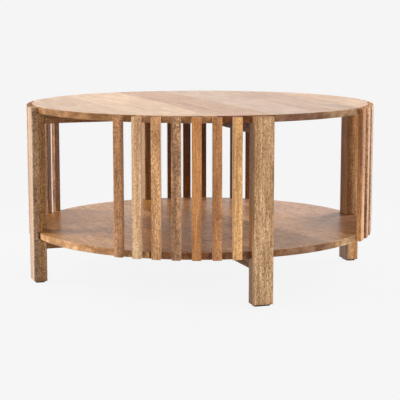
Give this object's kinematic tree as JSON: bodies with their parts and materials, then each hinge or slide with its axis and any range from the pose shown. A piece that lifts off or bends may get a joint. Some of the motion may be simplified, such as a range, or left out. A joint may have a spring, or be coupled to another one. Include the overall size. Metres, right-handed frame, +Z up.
{
  "type": "round slatted coffee table",
  "caption": "Round wooden coffee table with a low shelf, legs let into both rims, and upright slats between tabletop and shelf.",
  "frame": {"origin": "on the floor under the middle of the table, at the bottom centre of the bounding box", "axes": "+Z up; the legs stand on the X and Y axes, and the front leg is the one at -Y"},
  "size_m": [0.808, 0.808, 0.4],
  "materials": {
    "top_cream": "satin",
    "top_tan": "satin",
    "top_pink": "satin",
    "top_grey": "satin",
    "top_brown": "satin",
    "top_gold": "satin",
    "shelf_tan": "satin",
    "shelf_brown": "satin",
    "shelf_grey": "satin",
    "shelf_dark": "satin",
    "shelf_pink": "satin",
    "shelf_pale": "satin",
    "leg_front_wood": "satin",
    "leg_left_wood": "satin",
    "leg_right_wood": "satin",
    "leg_back_wood": "satin",
    "rail_wood": "satin",
    "slat_yellow": "satin",
    "slat_red_tan": "satin",
    "slat_orange": "satin",
    "slat_grey_brown": "satin",
    "slat_tan": "satin",
    "slat_pale": "satin",
    "slat_red_brown": "satin",
    "slat_dark": "satin",
    "dowel_wood": "satin",
    "foot_rubber": "matte",
    "screw_steel": "satin"
  },
  "bodies": {
    "root": {"leg_front": "leg_front_wood", "foot_pad_front": "foot_rubber", "front_slat_1": "slat_yellow", "front_slat_2": "slat_red_tan", "front_slat_3": "slat_orange", "front_slat_4": "slat_grey_brown", "front_slat_5": "slat_tan", "front_slat_6": "slat_pale", "front_slat_7": "slat_red_brown", "leg_right": "leg_right_wood", "foot_pad_right": "foot_rubber", "right_slat_1": "slat_tan", "right_slat_2": "slat_orange", "right_slat_3": "slat_yellow", "right_slat_4": "slat_pale", "right_slat_5": "slat_grey_brown", "right_slat_6": "slat_grey_brown", "right_slat_7": "slat_red_tan", "leg_back": "leg_back_wood", "foot_pad_back": "foot_rubber", "back_slat_1": "slat_dark", "back_slat_2": "slat_dark", "back_slat_3": "slat_dark", "back_slat_4": "slat_grey_brown", "back_slat_5": "slat_dark", "back_slat_6": "slat_dark", "back_slat_7": "slat_red_tan", "leg_left": "leg_left_wood", "foot_pad_left": "foot_rubber", "left_slat_1": "slat_red_brown", "left_slat_2": "slat_red_tan", "left_slat_3": "slat_dark", "left_slat_4": "slat_tan", "left_slat_5": "slat_orange", "left_slat_6": "slat_grey_brown", "left_slat_7": "slat_grey_brown", "top_rail_front_to_back": "rail_wood", "top_rail_left_to_right": "rail_wood", "shelf_rail_front_to_back": "rail_wood", "shelf_rail_left_to_right": "rail_wood", "top_rail_screws": "screw_steel", "shelf_rail_screws": "screw_steel", "top_slat_dowels": "dowel_wood", "shelf_slat_dowels": "dowel_wood", "top_board_1": "top_tan", "top_board_2": "top_cream", "top_board_3": "top_pink", "top_board_4": "top_grey", "top_board_5": "top_brown", "top_board_6": "top_gold", "shelf_board_1": "shelf_tan", "shelf_board_2": "shelf_pale", "shelf_board_3": "shelf_grey", "shelf_board_4": "shelf_brown", "shelf_board_5": "shelf_pink", "shelf_board_6": "shelf_dark"}
  },
  "joints": []
}
